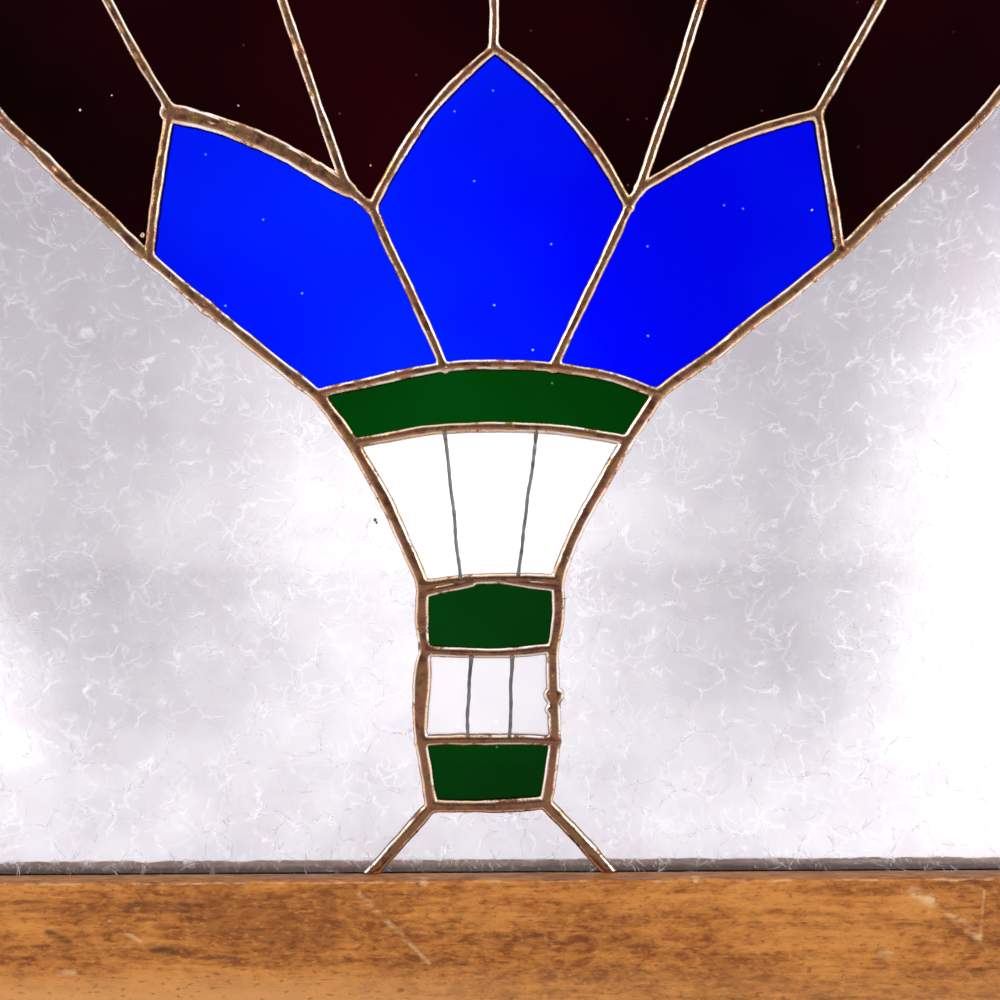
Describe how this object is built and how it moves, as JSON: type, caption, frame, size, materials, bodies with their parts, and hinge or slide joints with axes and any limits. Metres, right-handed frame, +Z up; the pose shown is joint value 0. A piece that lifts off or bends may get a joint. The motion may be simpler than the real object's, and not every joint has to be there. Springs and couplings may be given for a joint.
{
  "type": "stained glass window",
  "caption": "Upright stained glass window with a hot-air balloon in ruby, blue, green and white glass on frosted clear glass, soldered in copper foil and framed in a grooved wooden sash.",
  "frame": {"origin": "middle of the bottom rail's underside, halfway through the sash's depth", "axes": "+Z up the window, +X to the right as seen from the front, the front face towards -Y"},
  "size_m": [0.6984, 0.035, 0.9155],
  "materials": {
    "clear_glass": "clear glass with a frosted, feathered surface",
    "ruby_glass": "very dark ruby glass with small bubbles",
    "blue_glass": "smooth deep blue glass",
    "green_glass": "smooth dark green glass",
    "opal_glass": "milky white opal glass",
    "solder": "hand-run solder beads with a worn copper patina",
    "rope_wire": "dull tinned wire",
    "sash_wood": "old orange-brown stained softwood with worn edges"
  },
  "bodies": {
    "root": {"sky_glass_lower_left": "clear_glass", "sky_glass_lower_right": "clear_glass", "sky_glass_bottom": "clear_glass", "sky_glass_upper_left": "clear_glass", "sky_glass_upper_right": "clear_glass", "ruby_gore_1": "ruby_glass", "ruby_gore_2": "ruby_glass", "ruby_gore_3": "ruby_glass", "ruby_gore_4": "ruby_glass", "ruby_gore_5": "ruby_glass", "ruby_gore_6": "ruby_glass", "crown_cap": "blue_glass", "blue_petal_left": "blue_glass", "blue_petal_centre": "blue_glass", "blue_petal_right": "blue_glass", "mouth_band": "green_glass", "burner_glass": "green_glass", "basket_glass": "green_glass", "skirt_glass": "opal_glass", "rope_panel_glass": "opal_glass", "solder_seams": "solder", "rope_wire_skirt_left": "rope_wire", "rope_wire_skirt_right": "rope_wire", "rope_wire_panel_left": "rope_wire", "rope_wire_panel_right": "rope_wire", "stile_left": "sash_wood", "stile_right": "sash_wood", "bottom_rail": "sash_wood", "top_rail": "sash_wood"}
  },
  "joints": []
}
